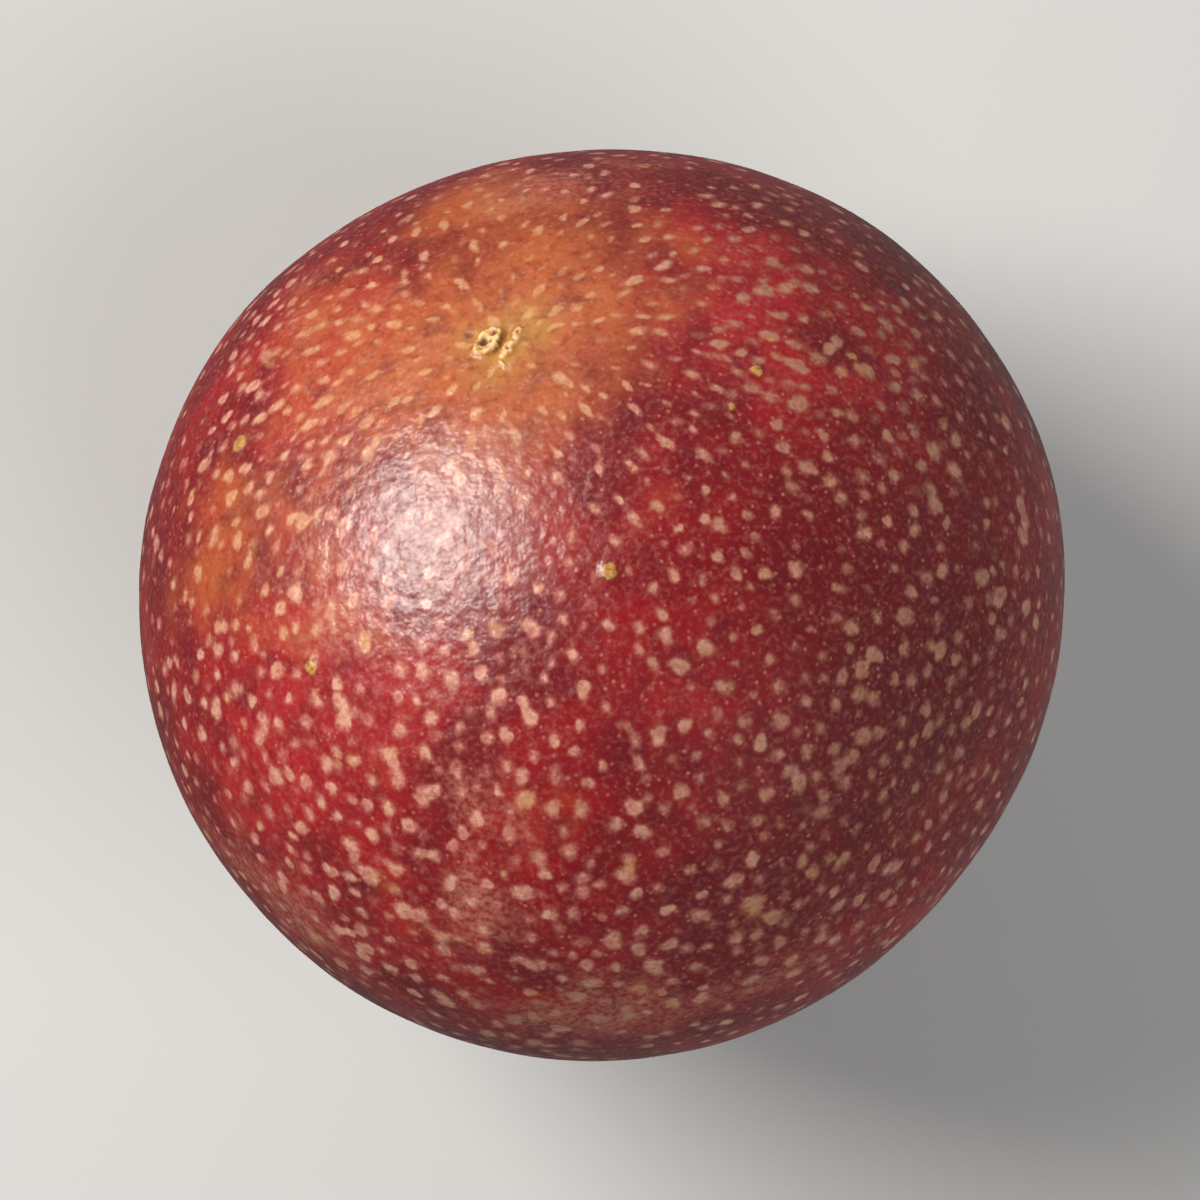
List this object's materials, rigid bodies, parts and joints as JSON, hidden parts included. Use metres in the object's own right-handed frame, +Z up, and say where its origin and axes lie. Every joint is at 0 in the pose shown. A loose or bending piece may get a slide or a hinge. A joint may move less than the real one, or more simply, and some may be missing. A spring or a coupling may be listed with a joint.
{
  "type": "passion fruit",
  "caption": "Whole red-purple passion fruit with pale speckles, a corky stalk scar and a dried blossom stub, lying on a small flat spot.",
  "frame": {"origin": "on the surface that the fruit rests on, straight below the middle of the fruit", "axes": "+Z up; the stalk end leans 37.4 degrees from +Z, towards 111.5 degrees from +X; the blossom end is opposite, clear of the surface"},
  "size_m": [0.0525, 0.0515, 0.0498],
  "materials": {
    "skin": "satin, finely pebbled, red to maroon with cream speckles and an orange flush round the stalk scar"
  },
  "bodies": {
    "root": {"fruit": "skin"}
  },
  "joints": []
}
